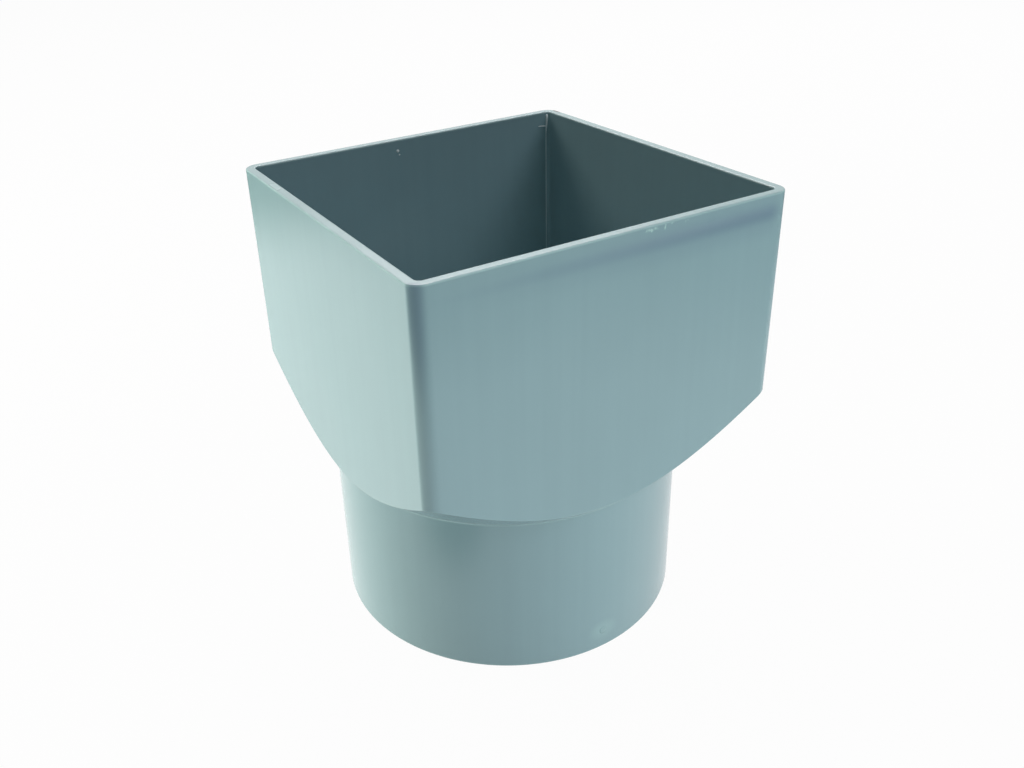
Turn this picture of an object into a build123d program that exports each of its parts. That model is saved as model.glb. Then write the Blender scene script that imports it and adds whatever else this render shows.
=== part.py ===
from build123d import *

import math
import os

# Downspout adapter, one moulding in rigid PVC: a square socket that takes the end of a square rain pipe,
# a conical funnel below it, and a round spigot that pushes into a round rain pipe.
# Millimetres. The spigot's end ring stands on the plane Z = 0, and the mouth of the socket looks up +Z.

# Square socket
socket_inside = 80.2  # across the flats, for a square pipe of 80
wall = 2.1  # the same all over the moulding
socket_corner_radius = 3.2  # outside
overall_height = 100.0

# Round spigot
spigot_diameter = 80.5  # outside
spigot_length = 39.0  # straight part, below the funnel

# Funnel between them
funnel_angle = 49.0  # degrees from the axis

# Small rounds that the mould leaves
rim_round = 0.3
spigot_end_round = 0.4
wall_foot_round = 0.3  # outside, where the walls end in the funnel
funnel_root_round = 0.6  # outside, the hollow corner between the funnel and the spigot
inner_lip_round = 1.2  # inside, where the funnel turns down into the bore

socket_outside = socket_inside + 2 * wall
thin_corner_radius = 0.2 * wall
socket_inner_corner_radius = max(socket_corner_radius - wall, thin_corner_radius)
spigot_radius = spigot_diameter / 2
bore_radius = spigot_radius - wall
funnel_spread = math.tan(math.radians(funnel_angle))

# The cone in the bore starts higher than the cone outside, so that the wall between them keeps its thickness
wall_across_funnel = wall / math.cos(math.radians(funnel_angle))
bore_cone_start = spigot_length + (wall_across_funnel - wall) / funnel_spread

# A round along an edge of the rim or the end ring leaves some of that face flat
widest_edge_round = 0.45 * wall


def funnel_section(tube_radius, cone_start):
    """Half section of a round tube that turns into a cone, as high as the whole part."""
    Polyline(
        (0, 0),
        (tube_radius, 0),
        (tube_radius, cone_start),
        (tube_radius + (overall_height - cone_start) * funnel_spread, overall_height),
        (0, overall_height),
        close=True,
    )


# Solid form of the outside: the cone trimmed to the square, and the tube of the spigot
with BuildPart() as outside_form:
    with BuildSketch(Plane.XZ):
        with BuildLine():
            funnel_section(spigot_radius, spigot_length)
        make_face()
        funnel_root = vertices().sort_by_distance((spigot_radius, spigot_length))[0]
        fillet(funnel_root, radius=funnel_root_round)
    revolve(axis=Axis.Z)
    with BuildSketch(Plane.XY):
        RectangleRounded(socket_outside, socket_outside, socket_corner_radius)
    extrude(amount=overall_height, mode=Mode.INTERSECT)
    wall_feet = edges().filter_by(GeomType.HYPERBOLA)
    corner_feet = edges().filter_by(GeomType.BSPLINE)
    fillet(wall_feet + corner_feet, radius=wall_foot_round)
    with BuildSketch(Plane.XY):
        Circle(spigot_radius)
    extrude(amount=spigot_length)

# Solid form of the water way. A spigot wider than the socket keeps a ledge of one wall between the two.
with BuildPart() as water_way:
    with BuildSketch(Plane.XZ):
        with BuildLine():
            funnel_section(bore_radius, bore_cone_start)
        make_face()
        bore_lip = vertices().sort_by_distance((bore_radius, bore_cone_start))[0]
        fillet(bore_lip, radius=inner_lip_round)
    revolve(axis=Axis.Z)
    with BuildSketch(Plane.XY):
        RectangleRounded(socket_inside, socket_inside, socket_inner_corner_radius)
    extrude(amount=overall_height, mode=Mode.INTERSECT)
    with BuildSketch(Plane.XY):
        Circle(bore_radius)
    extrude(amount=spigot_length - wall)

with BuildPart() as downspout_adapter:
    add(outside_form.part)
    add(water_way.part, mode=Mode.SUBTRACT)
    rim = faces().sort_by(Axis.Z)[-1]
    fillet(rim.edges(), radius=min(rim_round, widest_edge_round))
    end_ring = faces().sort_by(Axis.Z)[0]
    fillet(end_ring.edges(), radius=min(spigot_end_round, widest_edge_round))

downspout_adapter.part.label = "downspout_adapter"

os.makedirs("parts", exist_ok=True)
export_step(downspout_adapter.part, "parts/downspout_adapter.step")
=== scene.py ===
import math

import bpy
import numpy as np
from mathutils import Matrix, Vector


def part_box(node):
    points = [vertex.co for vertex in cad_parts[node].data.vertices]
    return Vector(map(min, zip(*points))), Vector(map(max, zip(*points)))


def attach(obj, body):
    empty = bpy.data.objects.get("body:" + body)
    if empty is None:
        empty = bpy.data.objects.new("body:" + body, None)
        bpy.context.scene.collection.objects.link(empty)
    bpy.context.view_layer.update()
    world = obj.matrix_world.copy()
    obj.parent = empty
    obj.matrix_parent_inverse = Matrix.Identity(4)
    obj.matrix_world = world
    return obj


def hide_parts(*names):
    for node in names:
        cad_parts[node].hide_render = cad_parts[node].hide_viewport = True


bl_info = {
    "name": "Rain Pipe Adapter, Square to Round",
    "version": (1, 0, 0),
    "blender": (4, 5, 0),
    "location": "3D View > Sidebar > Pipe Adapter",
    "description": "Builds a moulded rain pipe adapter, its grey PVC and a plain studio round it",
    "category": "Add Mesh",
}

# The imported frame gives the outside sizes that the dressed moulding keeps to. Lengths are in metres, apart
# from those whose comment says mm.
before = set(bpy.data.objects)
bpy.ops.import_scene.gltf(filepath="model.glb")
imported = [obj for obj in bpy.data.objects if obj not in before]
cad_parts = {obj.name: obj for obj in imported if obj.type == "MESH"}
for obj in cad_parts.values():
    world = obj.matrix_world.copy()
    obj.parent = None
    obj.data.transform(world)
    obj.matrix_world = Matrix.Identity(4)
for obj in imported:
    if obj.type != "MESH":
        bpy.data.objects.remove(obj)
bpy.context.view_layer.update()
node_low, node_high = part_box("downspout_adapter")

MM = 0.001

# Rounds of the moulding that have no setting of their own: foot of a wall, root of the funnel outside,
# hollow corner under a wall inside, and the lip between the bore and the cone
FOOT_ROUND, ROOT_ROUND, HOLLOW_ROUND, LIP_ROUND = 0.3 * MM, 0.6 * MM, 0.6 * MM, 1.2 * MM
# Bend radius of the front corner at its tight left end and at its slow right end
TIGHT_BEND, SLOW_BEND = 1.5 * MM, 3.3 * MM
# How far under the rim the soft shoulder lies, and half the height over which its S curve runs
SHOULDER_DROP, SHOULDER_HALF = 3.2 * MM, 1.4 * MM
# How far the first and last rows of a straight run stand from its ends, where a round begins
ROW_MARGIN, FLAT_MARGIN = 0.15 * MM, 0.1 * MM
# Edge weights: flats and rounds of the rim, spigot's end ring, foot of the walls, funnel's root, inner lip,
# thin flash. A weight mixes in the paler colour: rubbed wear on edges, and a painted highlight on the
# rim's flat and along the funnel's root
RIM_FLAT, RIM_EDGE, END_FLAT, END_EDGE = 1.7, 1.4, 0.3, 1.0
FOOT_WEAR, ROOT_HIGHLIGHT, LIP_WEAR, FLASH_WEAR = 0.3, 0.5, 0.6, 3.0
# Steps between the columns along a flat wall and round a corner
PER_FLAT, PER_CORNER = 72, 14

# Marks in the colour: an ellipsoid's centre and radii in mm, and the share of the radii where it fades
SCUFF_BELT = ((10.5, -42.2, 99.1), (7.5, 1.5, 0.75), 0.5)
GATE_HALO = ((0.35, -40.3, 4.8), (4.6, 4.6, 3.6), 0.8)
# Painted shade: a darker, bluer band under the rim of the front wall, as a narrow belt and a wide soft one
NARROW_SHADE_BAND = ((34.0, -42.2, 96.1), (80.0, 2.5, 2.6), 0.95)
WIDE_SHADE_BAND = ((34.0, -42.2, 95.8), (80.0, 2.5, 6.5), 1.0)
# Painted shade: a dark stripe down the top of the front corner
CORNER_SHADE = ((-41.6, -41.6, 99.0), (2.4, 2.4, 26.0), 0.8)
RIM_DARK_MARK = ((41.7, 38.7, 100.0), (0.55, 1.9, 0.6), 0.4)
# Pale colour of thin flash, which down the back corner is also a painted highlight line, and the colour of
# the dark mark on the rim
FLASH_AND_HIGHLIGHT_COLOUR, DARK_MARK_COLOUR = (0.88, 0.94, 0.93), (0.07, 0.055, 0.06)
# What the painted shade leaves of the main colour's red, green and blue
SHADE_TINT = (0.60, 0.62, 0.74)


class AdapterSizes(bpy.types.PropertyGroup):
    """Sizes of the moulding, in metres."""

    socket_width: bpy.props.FloatProperty(
        name="Socket Width", description="Across the flats of the square socket, outside",
        default=node_high.x - node_low.x, min=0.02, subtype="DISTANCE", unit="LENGTH", precision=4)
    height: bpy.props.FloatProperty(
        name="Height", description="From the spigot's end ring to the rim",
        default=node_high.z, min=0.02, subtype="DISTANCE", unit="LENGTH", precision=4)
    wall: bpy.props.FloatProperty(
        name="Wall", description="Wall thickness of the whole moulding",
        default=2.1 * MM, min=0.5 * MM, subtype="DISTANCE", unit="LENGTH", precision=4)
    corner_radius: bpy.props.FloatProperty(
        name="Corner Radius", description="Outside radius of the socket's upright corners",
        default=3.2 * MM, min=1.0 * MM, subtype="DISTANCE", unit="LENGTH", precision=4)
    spigot_diameter: bpy.props.FloatProperty(
        name="Spigot Diameter", description="Outside diameter of the round spigot",
        default=80.5 * MM, min=0.01, subtype="DISTANCE", unit="LENGTH", precision=4)
    spigot_length: bpy.props.FloatProperty(
        name="Spigot Length", description="Straight part of the spigot, below the funnel",
        default=39.0 * MM, min=0.002, subtype="DISTANCE", unit="LENGTH", precision=4)
    funnel_angle: bpy.props.FloatProperty(
        name="Funnel Angle", description="Angle between the funnel's wall and its axis",
        default=math.radians(49.0), min=0.2, max=1.4, subtype="ANGLE", unit="ROTATION")
    rim_round: bpy.props.FloatProperty(
        name="Rim Round", description="Round along both edges of the rim",
        default=0.3 * MM, min=0.05 * MM, subtype="DISTANCE", unit="LENGTH", precision=4)
    end_round: bpy.props.FloatProperty(
        name="End Round", description="Round along both edges of the spigot's end ring",
        default=0.4 * MM, min=0.05 * MM, subtype="DISTANCE", unit="LENGTH", precision=4)
    wall_bow: bpy.props.FloatProperty(
        name="Wall Bow", description="How far the middle of each flat wall has sunk inwards while it cooled",
        default=0.12 * MM, min=0.0, subtype="DISTANCE", unit="LENGTH", precision=5)
    rim_wave: bpy.props.FloatProperty(
        name="Rim Wave", description="How far one wall has sunk below a soft shoulder just under the rim",
        default=0.32 * MM, min=0.0, subtype="DISTANCE", unit="LENGTH", precision=5)


class AdapterColours(bpy.types.PropertyGroup):
    """Colours of the PVC."""

    pvc: bpy.props.FloatVectorProperty(
        name="PVC", description="Main colour of the moulding", subtype="COLOR", size=3, min=0.0, max=1.0,
        default=(0.241, 0.376, 0.403))
    # Rubbed wear on edges, and a painted highlight on the rim's flat and along the funnel's root
    pvc_worn_and_lit: bpy.props.FloatVectorProperty(
        name="Worn PVC", description="Paler colour where edges and faces have been rubbed", subtype="COLOR",
        size=3, min=0.0, max=1.0, default=(0.45, 0.71, 0.655))
    roughness: bpy.props.FloatProperty(
        name="Roughness", description="Roughness of the polished faces", default=0.16, min=0.05, max=1.0,
        subtype="FACTOR")


class StudioSettings(bpy.types.PropertyGroup):
    """Floor colour, light level and camera angle of the studio."""

    floor_colour: bpy.props.FloatVectorProperty(
        name="Floor Colour", description="Colour of the light that the floor throws back at the part",
        subtype="COLOR", size=3, min=0.0, max=1.0, default=(0.5, 0.5, 0.5))
    light_level: bpy.props.FloatProperty(
        name="Light Level", description="Multiplies the power of every lamp", default=1.0, min=0.0, max=10.0)
    azimuth: bpy.props.FloatProperty(
        name="Camera Azimuth", description="0 looks along +Y, and 90 degrees along -X",
        default=math.radians(-28.3544), subtype="ANGLE", unit="ROTATION")
    elevation: bpy.props.FloatProperty(
        name="Camera Elevation", description="Angle of the camera above the horizon",
        default=math.radians(27.881), subtype="ANGLE", unit="ROTATION")
    roll: bpy.props.FloatProperty(
        name="Camera Roll", description="Turn of the camera about its own line of sight",
        default=math.radians(-2.7723), subtype="ANGLE", unit="ROTATION")


def column_ring(half_core, per_flat, per_corner):
    """Core points and outward directions of the upright columns round the socket, anticlockwise from above.

    Along a flat side the core point slides between two corner centres, at sin(u * 90 degrees) of half the
    side for u from -1 to 1, so the columns crowd at the corners, and the direction is the side's own. At a
    corner the core point stays and the direction turns through a quarter circle. A point at offset d is
    core + d * direction. The third array is u, and 1 at a corner.
    """
    u = np.linspace(-1.0, 1.0, per_flat + 1)
    slide = np.sin(u * math.pi / 2) * half_core
    turn = np.linspace(0.0, math.pi / 2, per_corner + 1)[1:-1]
    core = np.concatenate([
        np.stack([np.full_like(slide, half_core), slide], 1),
        np.full((len(turn), 2), half_core),
    ])
    out = np.concatenate([
        np.tile([1.0, 0.0], (len(slide), 1)),
        np.stack([np.cos(turn), np.sin(turn)], 1),
    ])
    along = np.concatenate([u, np.ones(len(turn))])
    quarter = np.array([[0.0, 1.0], [-1.0, 0.0]])
    turns = [np.linalg.matrix_power(quarter, k) for k in range(4)]
    return (
        np.concatenate([core @ q for q in turns]),
        np.concatenate([out @ q for q in turns]),
        np.tile(along, 4),
    )


def uneven_corner(core, out, half, radius):
    """The outer core points with the front corner rounded unevenly, as the mould has left it.

    The corner between the walls that face -X and -Y turns tightly over its first 20 degrees and slowly from
    36 degrees on. Its bend radius, from TIGHT_BEND to SLOW_BEND, is summed along the arc to give the
    surface, and the core point is one corner radius inside that. The two flat walls beside it are stretched
    or drawn in to meet its ends.
    """
    angle = np.radians(np.linspace(180.0, 270.0, 361))
    middle = (angle[1:] + angle[:-1]) / 2
    slower = np.clip((np.degrees(middle) - 200.0) / 16.0, 0, 1)
    bend = (TIGHT_BEND + (SLOW_BEND - TIGHT_BEND) * slower) * np.diff(angle)
    x = -half + np.concatenate([[0.0], np.cumsum(-np.sin(middle) * bend)])
    y = np.concatenate([[0.0], np.cumsum(np.cos(middle) * bend)])
    y += -half - y[-1]
    facing = np.arctan2(out[:, 1], out[:, 0]) % (2 * math.pi)
    at_corner = (facing > math.radians(181)) & (facing < math.radians(269))
    surface = np.stack([np.interp(facing, angle, x), np.interp(facing, angle, y)], 1)
    moved = np.where(at_corner[:, None], surface - radius * out, core)
    reach = half - radius
    front, left = out[:, 1] < -0.999, out[:, 0] < -0.999
    moved[front, 0] = reach + (core[front, 0] - reach) * (reach - x[-1]) / (2 * reach)
    moved[left, 1] = reach + (core[left, 1] - reach) * (reach - y[0]) / (2 * reach)
    return moved


def arc(start, end, steps):
    """Cosines and sines, as columns, of angles in degrees from start to end in equal steps."""
    angle = np.radians(np.linspace(start, end, steps + 1))[:, None]
    return np.cos(angle), np.sin(angle)


def run(start, end, steps, margin):
    """Rows between two heights or radii, which may differ per column: one row a margin inside each end, and
    equal steps between those two rows."""
    share = np.linspace(0.0, 1.0, steps + 1)[:, None]
    lean = np.sign(end - start) * margin
    return (start + lean) + ((end - lean) - (start + lean)) * share


def moulding_rows(sizes):
    """The closed section of the moulding for every column round it: a grid of points and each row's weight.

    The section starts at the middle of the rim, goes down the outside, over the end ring and up the inside.
    At the rim and on the walls a point is core + offset * direction. From a wall's foot down, the section
    of a column lies in the plane through the axis and the wall's foot: a round, the straight line of the
    cone, a round and the tube. A wall ends where the cone is as far from the axis as the wall is, so the
    feet of the flat walls are hyperbolas.
    """
    half = sizes.socket_width / 2
    core, out, along = column_ring(half - sizes.corner_radius, PER_FLAT, PER_CORNER)
    core_out = uneven_corner(core, out, half, sizes.corner_radius)
    spread = math.tan(sizes.funnel_angle)
    lean = math.degrees(sizes.funnel_angle)
    tangent = math.tan(sizes.funnel_angle / 2)
    tube = sizes.spigot_diameter / 2
    bore = tube - sizes.wall
    bore_cone = sizes.spigot_length + (sizes.wall / math.cos(sizes.funnel_angle) - sizes.wall) / spread
    d_out, d_in = sizes.corner_radius, sizes.corner_radius - sizes.wall
    top, rim, end = sizes.height, sizes.rim_round, sizes.end_round
    rows, wear_and_glint = [], []

    def add(xy, z, weight=0.0):
        """Stacks rows of points whose plan places and heights may be given per row, per column or both."""
        z = np.broadcast_to(z, xy.shape[:2])
        rows.append(np.concatenate([xy, z[..., None]], 2))
        wear_and_glint.append(np.full(len(xy), weight))

    def offset(d, core):
        """Plan places core + d * direction, for one offset, a column of offsets or a grid of them."""
        d = np.atleast_2d(d)
        d = np.broadcast_to(d, (len(d), len(core)))
        return core[None] + out[None] * d[..., None]

    def radial(r, angle):
        """Plan places at radius r and a column's own angle, for one radius or a column or grid of them."""
        r = np.atleast_2d(r)
        r = np.broadcast_to(r, (len(r), len(angle)))
        return np.stack([r * np.cos(angle), r * np.sin(angle)], 2)

    outer, inner = offset(d_out, core_out)[0], offset(d_in, core)[0]
    reach_out, reach_in = np.hypot(*outer.T)[None], np.hypot(*inner.T)[None]
    angle_out, angle_in = np.arctan2(outer[:, 1], outer[:, 0]), np.arctan2(inner[:, 1], inner[:, 0])
    # The inner angle is taken on the same turn as the outer one, so that their mean lies between them
    angle_in = angle_out + (angle_in - angle_out + math.pi) % (2 * math.pi) - math.pi
    foot_out = sizes.spigot_length + (reach_out - tube) / spread
    foot_in = bore_cone + (reach_in - bore) / spread
    # A wall's straight part starts above the round at its foot
    wall_out, wall_in = foot_out + FOOT_ROUND * tangent, foot_in + HOLLOW_ROUND * tangent

    def bowed(z, foot):
        """How far a wall stands inwards at each height: a squared half wave between the corners, times a
        half wave between the wall's foot and the rim, times a slow ripple of a quarter either way."""
        across = np.cos(along * math.pi / 2)[None] ** 2
        up = np.sin(np.clip((z - foot) / (top - foot), 0, 1) * math.pi)
        ripple = 1 + 0.25 * np.sin(along[None] * 7.0 + z * 90.0)
        return sizes.wall_bow * across * up * ripple

    def rim_wave(z):
        """How far the wall that faces -Y has sunk below a soft shoulder under the rim: nothing above the
        shoulder's line, the full depth below it with an S curve between, and from there back to nothing at
        the wall's foot. It starts left of the wall's middle, is full right of it and runs out over the last
        6 mm before the corner."""
        x = outer[:, 0][None]
        faces_front = (out[:, 1] < -0.9)[None]
        starts = np.clip((x + 16 * MM) / (36 * MM), 0, 1) ** 0.8
        ends = np.clip((half - x) / (6 * MM), 0, 1)
        line = top - SHOULDER_DROP
        shoulder = 0.5 - 0.5 * np.tanh((z - line) / SHOULDER_HALF)
        fade = np.sin(np.clip((z - foot_out) / (line - foot_out), 0, 1) * math.pi / 2)
        return sizes.rim_wave * starts * ends * shoulder * fade * faces_front

    # Rim, outer half, and its outer edge
    add(offset((d_out + d_in) / 2, (core + core_out) / 2), top, RIM_FLAT)
    add(offset(d_out - rim - FLAT_MARGIN, core_out), top, RIM_FLAT)
    cos, sin = arc(90, 0, 5)
    add(offset(d_out - rim + rim * cos, core_out), top - rim + rim * sin, RIM_EDGE)
    # Outside of the wall, with the rows close together over the top 10 mm, where the shoulder is
    near_rim = run(np.full_like(foot_out, top - rim), np.full_like(foot_out, top - 10 * MM), 24, ROW_MARGIN)
    z = np.concatenate([near_rim[:-1], run(near_rim[-1:], wall_out, 24, 0.0)[:-1], wall_out + ROW_MARGIN])
    add(offset(d_out - bowed(z, foot_out) - rim_wave(z), core_out), z)
    # Foot of the wall
    cos, sin = arc(0, -lean, 4)
    add(radial(reach_out - FOOT_ROUND + FOOT_ROUND * cos, angle_out), wall_out + FOOT_ROUND * sin, FOOT_WEAR)
    # Cone, down to the hollow corner at its root
    cos, sin = arc(180 - lean, 180, 5)
    r_root, root_height = tube + ROOT_ROUND + ROOT_ROUND * cos, sizes.spigot_length - ROOT_ROUND * tangent
    start = reach_out - FOOT_ROUND + FOOT_ROUND * math.cos(sizes.funnel_angle)
    r = run(start, np.full_like(start, r_root[0, 0]), 8, FLAT_MARGIN)
    add(radial(r, angle_out), sizes.spigot_length + (r - tube) / spread)
    # The root's weight paints a highlight line along it
    add(radial(r_root, angle_out), root_height + ROOT_ROUND * sin, ROOT_HIGHLIGHT)
    # Outside of the tube, the end ring, and the bore
    z = run(root_height, end, 16, ROW_MARGIN)
    add(radial(np.full_like(z, tube), angle_out), z)
    cos, sin = arc(0, -90, 5)
    add(radial(tube - end + end * cos, angle_out), end + end * sin, END_EDGE)
    add(radial(tube - end - FLAT_MARGIN, angle_out), 0.0, END_FLAT)
    add(radial((tube + bore) / 2, (angle_out + angle_in) / 2), 0.0, END_FLAT)
    add(radial(bore + end + FLAT_MARGIN, angle_in), 0.0, END_FLAT)
    cos, sin = arc(-90, -180, 5)
    add(radial(bore + end + end * cos, angle_in), end + end * sin, END_EDGE)
    z = run(end, bore_cone - LIP_ROUND * tangent, 10, ROW_MARGIN)
    add(radial(np.full_like(z, bore), angle_in), z)
    # Lip between the bore and the cone, and the cone inside
    cos, sin = arc(180, 180 - lean, 6)
    r_lip = bore + LIP_ROUND + LIP_ROUND * cos
    add(radial(r_lip, angle_in), bore_cone - LIP_ROUND * tangent + LIP_ROUND * sin, LIP_WEAR)
    stop = reach_in - HOLLOW_ROUND + HOLLOW_ROUND * math.cos(sizes.funnel_angle)
    r = run(np.full_like(stop, r_lip[-1, 0]), stop, 8, FLAT_MARGIN)
    add(radial(r, angle_in), bore_cone + (r - bore) / spread)
    # Hollow corner between the cone and the wall, and the wall inside
    cos, sin = arc(-lean, 0, 5)
    add(radial(reach_in - HOLLOW_ROUND + HOLLOW_ROUND * cos, angle_in), wall_in + HOLLOW_ROUND * sin)
    z = run(wall_in, np.full_like(foot_in, top - rim), 30, ROW_MARGIN)
    add(offset(d_in - bowed(z, foot_in), core), z)
    # Inner edge of the rim, and the rim's flat up to its middle
    cos, sin = arc(180, 90, 5)
    add(offset(d_in + rim + rim * cos, core), top - rim + rim * sin, RIM_EDGE)
    add(offset(d_in + rim + FLAT_MARGIN, core), top, RIM_FLAT)
    return np.concatenate(rows), np.concatenate(wear_and_glint)


def ring_grid(name, points, wear_and_glint):
    """A mesh over a grid of points that closes on itself both ways, each cell one four-sided face looking
    outwards. The row's weight goes into the attribute edge_wear."""
    rows, columns = points.shape[:2]
    index = np.arange(rows * columns, dtype=np.int32).reshape(rows, columns)
    below, beside = np.roll(index, -1, 0), np.roll(index, -1, 1)
    faces = np.stack([index, below, np.roll(below, -1, 1), beside], 2).reshape(-1, 4)
    mesh = bpy.data.meshes.new(name)
    mesh.vertices.add(rows * columns)
    mesh.vertices.foreach_set("co", points.astype(np.float32).ravel())
    mesh.loops.add(faces.size)
    mesh.loops.foreach_set("vertex_index", faces.ravel())
    mesh.polygons.add(len(faces))
    mesh.polygons.foreach_set("loop_start", np.arange(0, faces.size, 4, dtype=np.int32))
    mesh.polygons.foreach_set("use_smooth", np.ones(len(faces), dtype=bool))
    layer = mesh.attributes.new("edge_wear", "FLOAT", "POINT")
    layer.data.foreach_set("value", np.repeat(wear_and_glint, columns).astype(np.float32))
    mesh.update(calc_edges=True)
    mesh.validate()
    return mesh


def beads(name, *runs, wear_and_glint=FLASH_WEAR):
    """Small closed beads in one mesh. Each is a run of points with a radius at every point: a ring of
    twelve points, cos and sin of the turn times that radius, stands square to the path at each one, and a
    flat cap closes both ends. Flash has a higher edge_wear than any rubbed edge, and is paler."""
    sides = 12
    points, faces, start = [], [], 0
    turn = np.linspace(0, 2 * math.pi, sides + 1)[:-1]
    for path, radii in runs:
        path, radii = np.array(path, dtype=float) * MM, np.array(radii, dtype=float) * MM
        along = np.gradient(path, axis=0)
        along /= np.linalg.norm(along, axis=1, keepdims=True)
        helper = np.where(np.abs(along[:, 2:]) < 0.9, [[0.0, 0.0, 1.0]], [[1.0, 0.0, 0.0]])
        side = np.cross(helper, along)
        side /= np.linalg.norm(side, axis=1, keepdims=True)
        over = np.cross(along, side)
        ring = side[:, None] * np.cos(turn)[None, :, None] + over[:, None] * np.sin(turn)[None, :, None]
        points.append((path[:, None] + ring * radii[:, None, None]).reshape(-1, 3))
        index = start + np.arange(len(path) * sides).reshape(-1, sides)
        beside = np.roll(index, -1, 1)
        faces += np.stack([index[:-1], beside[:-1], beside[1:], index[1:]], 2).reshape(-1, 4).tolist()
        faces += [index[0, ::-1].tolist(), index[-1].tolist()]
        start += index.size
    mesh = bpy.data.meshes.new(name)
    mesh.from_pydata(np.concatenate(points).tolist(), [], faces)
    mesh.polygons.foreach_set("use_smooth", np.ones(len(faces), dtype=bool))
    layer = mesh.attributes.new("edge_wear", "FLOAT", "POINT")
    layer.data.foreach_set("value", np.full(start, wear_and_glint, dtype=np.float32))
    mesh.validate()
    return mesh


def show(mesh, material, *nodes):
    """Puts a mesh into the scene as a piece of the object, with its material, body, slot and the CAD nodes
    that it stands in for."""
    piece = bpy.data.objects.new(mesh.name, mesh)
    bpy.context.scene.collection.objects.link(piece)
    mesh.materials.append(material)
    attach(piece, "root")
    if nodes:
        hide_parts(*nodes)


class Nodes:
    """Short calls that add nodes to one node tree, which is emptied first."""

    def __init__(self, tree):
        tree.nodes.clear()
        self.new, self.link = tree.nodes.new, tree.links.new

    def fill(self, socket, value):
        """Gives a socket its own number or colour, or links another node's output to it."""
        if isinstance(value, (int, float)):
            socket.default_value = value
        elif isinstance(value, (list, tuple)):
            socket.default_value = [*value, 1]
        else:
            self.link(value, socket)

    def maths(self, kind, a, b):
        """Two values joined by one kind of arithmetic."""
        node = self.new("ShaderNodeMath")
        node.operation = kind
        self.fill(node.inputs[0], a)
        self.fill(node.inputs[1], b)
        return node.outputs["Value"]

    def scaled(self, value, low, high, from_low=0.3, from_high=0.7, kind="LINEAR"):
        """A value carried from one range to another and held at its ends."""
        node = self.new("ShaderNodeMapRange")
        node.interpolation_type = kind
        node.inputs["From Min"].default_value = from_low
        node.inputs["From Max"].default_value = from_high
        node.inputs["To Min"].default_value = low
        node.inputs["To Max"].default_value = high
        self.link(value, node.inputs["Value"])
        return node.outputs["Result"]

    def mixed(self, factor, first, second):
        """Two colours mixed by a factor."""
        node = self.new("ShaderNodeMix")
        node.data_type = "RGBA"
        self.link(factor, node.inputs["Factor"])
        self.fill(node.inputs["A"], first)
        self.fill(node.inputs["B"], second)
        return node.outputs["Result"]


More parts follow.
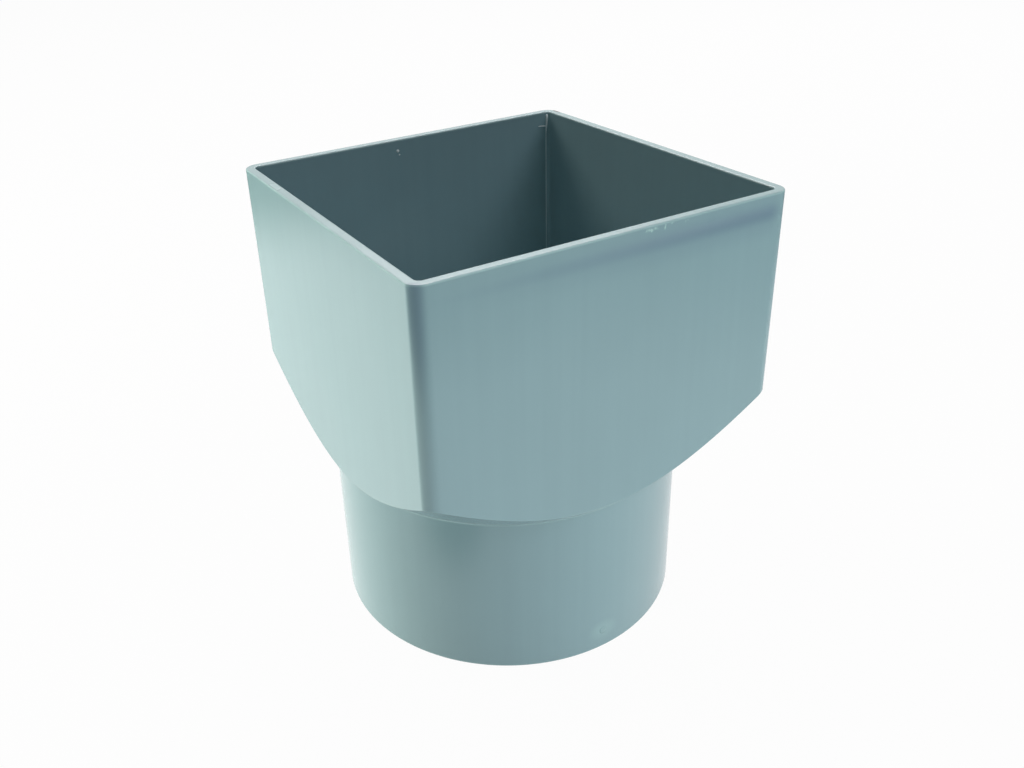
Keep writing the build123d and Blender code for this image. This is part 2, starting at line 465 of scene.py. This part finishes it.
def grey_pvc(colours):
    """Rigid PVC, cool grey and softly glossy: slow clouds and faint upright draw lines in the colour, paler
    rubbed edges with a painted highlight on the rim's flat and along the funnel's root, pale scuffs under the
    rim, a pale halo round the gate, painted shade under the front wall's rim and at the front corner's top,
    and one dark mark on the rim."""
    found = bpy.data.materials.get("grey_pvc_moulded")
    if found:
        return found
    material = bpy.data.materials.new("grey_pvc_moulded")
    material.use_nodes = True
    nodes = Nodes(material.node_tree)
    new, link, maths, scaled, mixed = nodes.new, nodes.link, nodes.maths, nodes.scaled, nodes.mixed
    output, shader = new("ShaderNodeOutputMaterial"), new("ShaderNodeBsdfPrincipled")
    place = new("ShaderNodeTexCoord")
    link(shader.outputs["BSDF"], output.inputs["Surface"])
    shader.inputs["IOR"].default_value = 1.54

    def moved(centre=(0, 0, 0), stretch=(1, 1, 1)):
        """The object's coordinates seen from a centre in metres and stretched."""
        turn = new("ShaderNodeMapping")
        turn.inputs["Location"].default_value = [-c * k for c, k in zip(centre, stretch)]
        turn.inputs["Scale"].default_value = stretch
        link(place.outputs["Object"], turn.inputs["Vector"])
        return turn.outputs["Vector"]

    def noise(scale, detail, stretch=(1, 1, 1)):
        """Noise over the object's coordinates."""
        node = new("ShaderNodeTexNoise")
        node.inputs["Scale"].default_value = scale
        node.inputs["Detail"].default_value = detail
        link(moved(stretch=stretch), node.inputs["Vector"])
        return node.outputs["Fac"]

    def spot(centre, radii, soft):
        """1 inside an ellipsoid and 0 outside, falling over the share soft of its radii."""
        length = new("ShaderNodeVectorMath")
        length.operation = "LENGTH"
        link(moved([c * MM for c in centre], [1 / (r * MM) for r in radii]), length.inputs[0])
        return scaled(length.outputs["Value"], 1.0, 0.0, 1.0 - soft, 1.0, "SMOOTHSTEP")

    def bump(height, strength, distance):
        """A bump of a height, over the one that is linked to its normal."""
        node = new("ShaderNodeBump")
        node.inputs["Strength"].default_value = strength
        node.inputs["Distance"].default_value = distance
        link(height, node.inputs["Height"])
        return node

    # Colour: slow clouds, upright draw lines from the mould, and a paler tone on rubbed edges, which on the
    # rim's flat and along the funnel's root is a painted highlight
    clouds = maths("MULTIPLY", scaled(noise(24.0, 3.0), 0.0, 1.0), 0.65)
    draw_lines = maths("MULTIPLY", scaled(noise(420.0, 2.0, (1, 1, 0.03)), 0.0, 1.0), 0.35)
    darker, paler = [c * 0.97 for c in colours.pvc], [c * 1.03 for c in colours.pvc]
    colour = mixed(maths("ADD", clouds, draw_lines), darker, paler)
    wear_and_glint = new("ShaderNodeAttribute")
    wear_and_glint.attribute_name = "edge_wear"
    rubbed_and_highlit = maths("MULTIPLY", wear_and_glint.outputs["Fac"], scaled(noise(90.0, 2.0), 0.17, 0.22))
    # Scuffs in a narrow belt under the rim of the front wall, broken into flecks, and the gate's halo
    flecks = scaled(noise(900.0, 2.0, (1, 1, 0.7)), 0.0, 0.6, 0.55, 0.68)
    scuffs = maths("MULTIPLY", spot(*SCUFF_BELT), flecks)
    halo = maths("MULTIPLY", spot(*GATE_HALO), 0.14)
    worn_and_sheen = maths("MAXIMUM", maths("MAXIMUM", rubbed_and_highlit, scuffs), halo)
    colour = mixed(worn_and_sheen, colour, list(colours.pvc_worn_and_lit))
    # Thin flash lets light through and is paler still; down the back corner the pale bead is also a painted
    # highlight line
    colour = mixed(scaled(wear_and_glint.outputs["Fac"], 0.0, 0.85, 2.0, FLASH_WEAR), colour, FLASH_AND_HIGHLIGHT_COLOUR)
    # Painted shade across the shoulder under the rim of the front wall: a narrow belt and a wide soft one,
    # darker and bluer, which fade out before the right corner
    painted_shade = maths("ADD", maths("MULTIPLY", spot(*NARROW_SHADE_BAND), 0.5), maths("MULTIPLY", spot(*WIDE_SHADE_BAND), 0.35))
    parts = new("ShaderNodeSeparateXYZ")
    link(place.outputs["Object"], parts.inputs["Vector"])
    painted_shade = maths("MULTIPLY", painted_shade, scaled(parts.outputs["X"], 1.0, 0.0, 36.5 * MM, 41.0 * MM, "SMOOTHSTEP"))
    # Painted shade: the front corner is a little darker at its top
    painted_shade = maths("MAXIMUM", painted_shade, maths("MULTIPLY", spot(*CORNER_SHADE), 0.6))
    colour = mixed(painted_shade, colour, [c * k for c, k in zip(colours.pvc, SHADE_TINT)])
    # One dark mark on the outer edge of the rim at the back
    dark_mark = maths("MULTIPLY", spot(*RIM_DARK_MARK), 0.85)
    link(mixed(dark_mark, colour, DARK_MARK_COLOUR), shader.inputs["Base Color"])
    # Roughness: duller in patches and where it is rubbed
    patches = scaled(noise(55.0, 3.0), colours.roughness - 0.02, colours.roughness + 0.04)
    link(maths("ADD", patches, maths("MULTIPLY", worn_and_sheen, 0.25)), shader.inputs["Roughness"])
    # Bump: slow dips left by uneven cooling, and the fine grain of the mould's steel drawn out upwards
    dips = bump(noise(70.0, 1.0, (1, 1, 0.6)), 0.25, 0.4 * MM)
    grain = bump(noise(1400.0, 2.0, (1, 1, 0.12)), 0.08, 0.02 * MM)
    link(dips.outputs["Normal"], grain.inputs["Normal"])
    link(grain.outputs["Normal"], shader.inputs["Normal"])
    return material


# The photograph's camera: place in mm, focal length in mm, and shift in shares of the picture's width
CAMERA_PLACE = (-105.963, -176.076, 163.842)
LENS, LENS_SHIFT = 35.042, (0.0497, -0.0181)

# What reflections see of the table, in metres: centre of the white disc and where its edge starts and ends,
# the way in which it gets less bright, and the centre and edge of the part's shade on it
DISC_CENTRE, DISC_EDGE = (0.033, 0.062, 0.0), (0.205, 0.32)
FRONT_RIGHT = (0.53, -0.85, 0.0)
SHADE_CENTRE, SHADE_EDGE = (-0.085, -0.052, 0.0), (0.014, 0.038)

# Strength of the weak light from all sides
AMBIENT = 0.06

# Name, place and the point it looks at in metres, width, height, power in watts and colour
LAMPS = (
    ("lamp_back_right", (0.375, 0.650, 0.75), (0, 0, 0.05), 0.5, 0.5, 4.3, (1.0, 0.95, 0.98)),
    ("lamp_back_left", (-0.375, 0.650, 0.75), (0, 0, 0.05), 0.5, 0.5, 2.95, (1.0, 0.93, 0.87)),
    ("lamp_right_fill", (0.779, 0.450, 0.42), (0, 0, 0.05), 0.4, 0.3, 1.6, (1.0, 0.92, 1.0)),
    ("lamp_front_right", (0.375, -0.650, 0.75), (0, 0, 0.05), 0.5, 0.5, 2.25, (0.94, 0.91, 0.99)),
    ("lamp_above", (0, 0, 1.1), (0, 0, 0.05), 0.6, 0.6, 1.9, (0.98, 0.96, 1.0)),
    ("lamp_low_back_left_fill", (-0.318, 0.318, 0.045), (0, 0, 0.045), 0.3, 0.085, 1.47, (1.0, 0.96, 0.87)),
    ("lamp_low_left_fill", (-0.390, 0.225, 0.045), (0, 0, 0.045), 0.3, 0.085, 1.08, (1.0, 1.0, 0.87)),
    ("lamp_low_front_fill", (0.225, -0.390, 0.045), (0, 0, 0.045), 0.3, 0.085, 1.01, (0.98, 1.0, 0.98)),
    ("lamp_low_middle_fill", (-0.289, -0.345, 0.045), (0, 0, 0.045), 0.3, 0.085, 0.27, (0.88, 0.98, 1.0)),
    ("lamp_near_table_fill", (-0.030, -0.100, 0.009), (0, 0, 0.009), 0.13, 0.016, 0.0042, (0.70, 0.87, 1.0)),
)


def aim(place, target):
    """Rotation of a lamp that looks from one point at another."""
    return (Vector(target) - Vector(place)).to_track_quat("-Z", "Y").to_euler()


def make_lamp(name, place, target, width, height, power, colour):
    """A soft rectangular lamp that looks at a point. A fill is one that reflections don't see."""
    data = bpy.data.lights.new(name, "AREA")
    data.shape = "RECTANGLE"
    data.size, data.size_y = width, height
    data.energy = power
    data.color = colour
    lamp = bpy.data.objects.new(name, data)
    lamp.location = place
    lamp.rotation_euler = aim(place, target)
    lamp.visible_camera = False
    lamp.visible_glossy = not name.endswith("fill")
    bpy.context.scene.collection.objects.link(lamp)


def floor_mesh():
    """A flat round floor: 24 rings of 96 points, radii in even ratios from 0.05 to 6 m, closed within."""
    rings, sides = 24, 96
    angle = np.linspace(0, 2 * math.pi, sides + 1)[:-1]
    circle = np.stack([np.cos(angle), np.sin(angle), np.zeros(sides)], 1)
    points = np.geomspace(0.05, 6.0, rings)[:, None, None] * circle
    index = np.arange(rings * sides).reshape(rings, sides)
    beside = np.roll(index, -1, 1)
    faces = np.stack([index[:-1], index[1:], beside[1:], beside[:-1]], 2).reshape(-1, 4).tolist()
    faces.append(index[0].tolist())
    mesh = bpy.data.meshes.new("studio_floor")
    mesh.from_pydata(points.reshape(-1, 3).tolist(), [], faces)
    return mesh


def floor_white(colour):
    """The floor's material. To the camera nearly all of it is its own white, so that only a faint trace of
    the part's shadow is left. Reflections see a white disc of table instead, and a dark room beyond it."""
    material = bpy.data.materials.new("studio_floor_white")
    material.use_nodes = True
    nodes = Nodes(material.node_tree)
    new, link, maths, scaled = nodes.new, nodes.link, nodes.maths, nodes.scaled
    output, mix = new("ShaderNodeOutputMaterial"), new("ShaderNodeMixShader")
    matt, white = new("ShaderNodeBsdfDiffuse"), new("ShaderNodeEmission")
    path, place = new("ShaderNodeLightPath"), new("ShaderNodeTexCoord")
    matt.inputs["Color"].default_value = [*colour, 1]
    white.inputs["Color"].default_value = (1, 1, 1, 1)

    def measured(kind, point):
        """The floor's own coordinates measured against a point: distance or dot product."""
        node = new("ShaderNodeVectorMath")
        node.operation = kind
        node.inputs[1].default_value = point
        link(place.outputs["Object"], node.inputs[0])
        return node.outputs["Value"]

    # The disc lies round the part and a little behind it, and its edge is soft
    disc = scaled(measured("DISTANCE", DISC_CENTRE), 1.0, 0.01, *DISC_EDGE, "SMOOTHSTEP")
    # It is a little less bright toward the front right
    dim = scaled(measured("DOT_PRODUCT", FRONT_RIGHT), 1.0, 0.72, 0.0, 0.2)
    # The part's own shade lies on it at the front left, close to the spigot
    shade = scaled(measured("DISTANCE", SHADE_CENTRE), 0.1, 1.0, *SHADE_EDGE, "SMOOTHSTEP")
    table = maths("MULTIPLY", maths("MULTIPLY", disc, dim), shade)

    glossy = path.outputs["Is Glossy Ray"]
    seen = maths("MAXIMUM", maths("MULTIPLY", path.outputs["Is Camera Ray"], 0.97),
                 maths("MULTIPLY", path.outputs["Is Transmission Ray"], 0.94))
    link(maths("MAXIMUM", seen, glossy), mix.inputs["Fac"])
    strength = maths("ADD", maths("MULTIPLY", table, glossy), maths("SUBTRACT", 1.0, glossy))
    link(strength, white.inputs["Strength"])
    link(matt.outputs["BSDF"], mix.inputs[1])
    link(white.outputs["Emission"], mix.inputs[2])
    link(mix.outputs["Shader"], output.inputs["Surface"])
    return material


def make_floor(colour):
    """Puts the floor into the scene as part of the stage."""
    mesh = floor_mesh()
    mesh.materials.append(floor_white(colour))
    floor = bpy.data.objects.new("studio_floor", mesh)
    bpy.context.scene.collection.objects.link(floor)


def make_world(ambient):
    """White behind the part for the camera and reflections, and a plain weak light from all sides."""
    world = bpy.data.worlds.new("studio_world")
    world.use_nodes = True
    nodes = Nodes(world.node_tree)
    new, link, maths = nodes.new, nodes.link, nodes.maths
    output, mix, path = new("ShaderNodeOutputWorld"), new("ShaderNodeMixShader"), new("ShaderNodeLightPath")
    weak, white = new("ShaderNodeBackground"), new("ShaderNodeBackground")
    for background, strength in ((weak, ambient), (white, 1.0)):
        background.inputs["Color"].default_value = (1, 1, 1, 1)
        background.inputs["Strength"].default_value = strength
    seen = maths("MAXIMUM", path.outputs["Is Camera Ray"], path.outputs["Is Glossy Ray"])
    link(maths("MAXIMUM", seen, path.outputs["Is Transmission Ray"]), mix.inputs["Fac"])
    link(weak.outputs["Background"], mix.inputs[1])
    link(white.outputs["Background"], mix.inputs[2])
    link(mix.outputs["Shader"], output.inputs["Surface"])
    bpy.context.scene.world = world


def make_camera(settings):
    """The photograph's camera. It looks along the azimuth and elevation, and is turned by the roll."""
    azimuth, elevation, roll = settings.azimuth, settings.elevation, settings.roll
    share = math.cos(elevation)
    back = Vector((math.sin(azimuth) * share, -math.cos(azimuth) * share, math.sin(elevation)))
    level = Vector((math.cos(azimuth), math.sin(azimuth), 0.0))
    upright = back.cross(level)
    right = level * math.cos(roll) + upright * math.sin(roll)
    up = upright * math.cos(roll) - level * math.sin(roll)
    data = bpy.data.cameras.new("photo_camera")
    data.sensor_width = 36.0
    data.lens = LENS
    data.shift_x, data.shift_y = LENS_SHIFT
    data.clip_start, data.clip_end = 0.01, 50.0
    camera = bpy.data.objects.new("photo_camera", data)
    bpy.context.scene.collection.objects.link(camera)
    turned = Matrix((right, up, back)).transposed().to_4x4()
    camera.matrix_world = Matrix.Translation(Vector(CAMERA_PLACE) * MM) @ turned
    bpy.context.scene.camera = camera


class PIPEADAPTER_OT_moulding(bpy.types.Operator):
    """Builds the moulded adapter as one closed surface and stands it in for its CAD node"""

    bl_idname = "pipeadapter.moulding"
    bl_label = "Moulding"

    def execute(self, context):
        points, wear_and_glint = moulding_rows(context.scene.adapter_sizes)
        mesh = ring_grid("adapter_moulding", points, wear_and_glint)
        show(mesh, grey_pvc(context.scene.adapter_colours), "downspout_adapter")
        return {"FINISHED"}


class PIPEADAPTER_OT_mould_marks(bpy.types.Operator):
    """Adds the small marks the mould has left: flash in a corner, two pin marks and the gate's stub"""

    bl_idname = "pipeadapter.mould_marks"
    bl_label = "Mould Marks"

    def execute(self, context):
        pvc = grey_pvc(context.scene.adapter_colours)
        # Real flash at the top of the back corner, running on down it as a thin pale bead that paints a
        # highlight line
        corner_flash = (
            [(39.5, 39.92, 99.3), (39.5, 39.9, 99.0), (39.48, 39.94, 98.0), (39.45, 39.97, 96.8),
             (39.35, 40.02, 95.6), (39.3, 40.07, 94.4), (39.3, 40.07, 88.0), (39.3, 40.07, 70.0),
             (39.3, 40.07, 60.0)],
            [0.14, 0.32, 0.29, 0.25, 0.18, 0.09, 0.07, 0.07, 0.03])
        cross_flash = (
            [(36.9, 40.1, 96.52), (37.4, 40.1, 96.5), (38.4, 40.09, 96.4), (39.4, 40.08, 96.27)],
            [0.03, 0.13, 0.16, 0.17])
        show(beads("corner_flash", corner_flash, cross_flash), pvc)
        upper_pin = ([(-3.9, 40.2, 97.25), (-3.9, 40.0, 97.25), (-3.9, 39.86, 97.25)], [0.38, 0.36, 0.22])
        lower_pin = ([(-3.5, 40.2, 96.3), (-3.5, 40.07, 96.3), (-3.5, 40.01, 96.3)], [0.22, 0.19, 0.09])
        show(beads("pin_marks", upper_pin, lower_pin), pvc)
        stub = ([(0.35, -40.1, 4.77), (0.35, -40.25, 4.77), (0.35, -40.3, 4.77), (0.35, -40.32, 4.77)],
                [0.95, 0.93, 0.7, 0.3])
        show(beads("gate_stub", stub, wear_and_glint=0.0), pvc)
        return {"FINISHED"}


class PIPEADAPTER_OT_studio(bpy.types.Operator):
    """Sets up the floor, the white surroundings, the lamps and the camera"""

    bl_idname = "pipeadapter.studio"
    bl_label = "Studio"

    def execute(self, context):
        settings = context.scene.studio_settings
        context.scene.view_settings.view_transform = "Standard"
        make_floor(settings.floor_colour)
        make_world(AMBIENT)
        for name, place, target, width, height, power, colour in LAMPS:
            make_lamp(name, place, target, width, height, power * settings.light_level, colour)
        make_camera(settings)
        return {"FINISHED"}


class PIPEADAPTER_PT_panel(bpy.types.Panel):
    """Lists the adapter's pieces, sizes and colours"""

    bl_label = "Pipe Adapter"
    bl_idname = "PIPEADAPTER_PT_panel"
    bl_space_type = "VIEW_3D"
    bl_region_type = "UI"
    bl_category = "Pipe Adapter"

    def draw(self, context):
        column = self.layout.column()
        scene = context.scene
        for settings in (scene.adapter_sizes, scene.adapter_colours, scene.studio_settings):
            for name in settings.__annotations__:
                column.prop(settings, name)
            column.separator()
        for operator in (PIPEADAPTER_OT_moulding, PIPEADAPTER_OT_mould_marks, PIPEADAPTER_OT_studio):
            column.operator(operator.bl_idname)


CLASSES = (
    AdapterSizes,
    AdapterColours,
    StudioSettings,
    PIPEADAPTER_OT_moulding,
    PIPEADAPTER_OT_mould_marks,
    PIPEADAPTER_OT_studio,
    PIPEADAPTER_PT_panel,
)


def register():
    for cls in CLASSES:
        bpy.utils.register_class(cls)
    bpy.types.Scene.adapter_sizes = bpy.props.PointerProperty(type=AdapterSizes)
    bpy.types.Scene.adapter_colours = bpy.props.PointerProperty(type=AdapterColours)
    bpy.types.Scene.studio_settings = bpy.props.PointerProperty(type=StudioSettings)


def unregister():
    del bpy.types.Scene.studio_settings
    del bpy.types.Scene.adapter_colours
    del bpy.types.Scene.adapter_sizes
    for cls in reversed(CLASSES):
        bpy.utils.unregister_class(cls)


def main():
    register()
    bpy.ops.pipeadapter.moulding()
    bpy.ops.pipeadapter.mould_marks()
    bpy.ops.pipeadapter.studio()


if __name__ == "__main__":
    main()
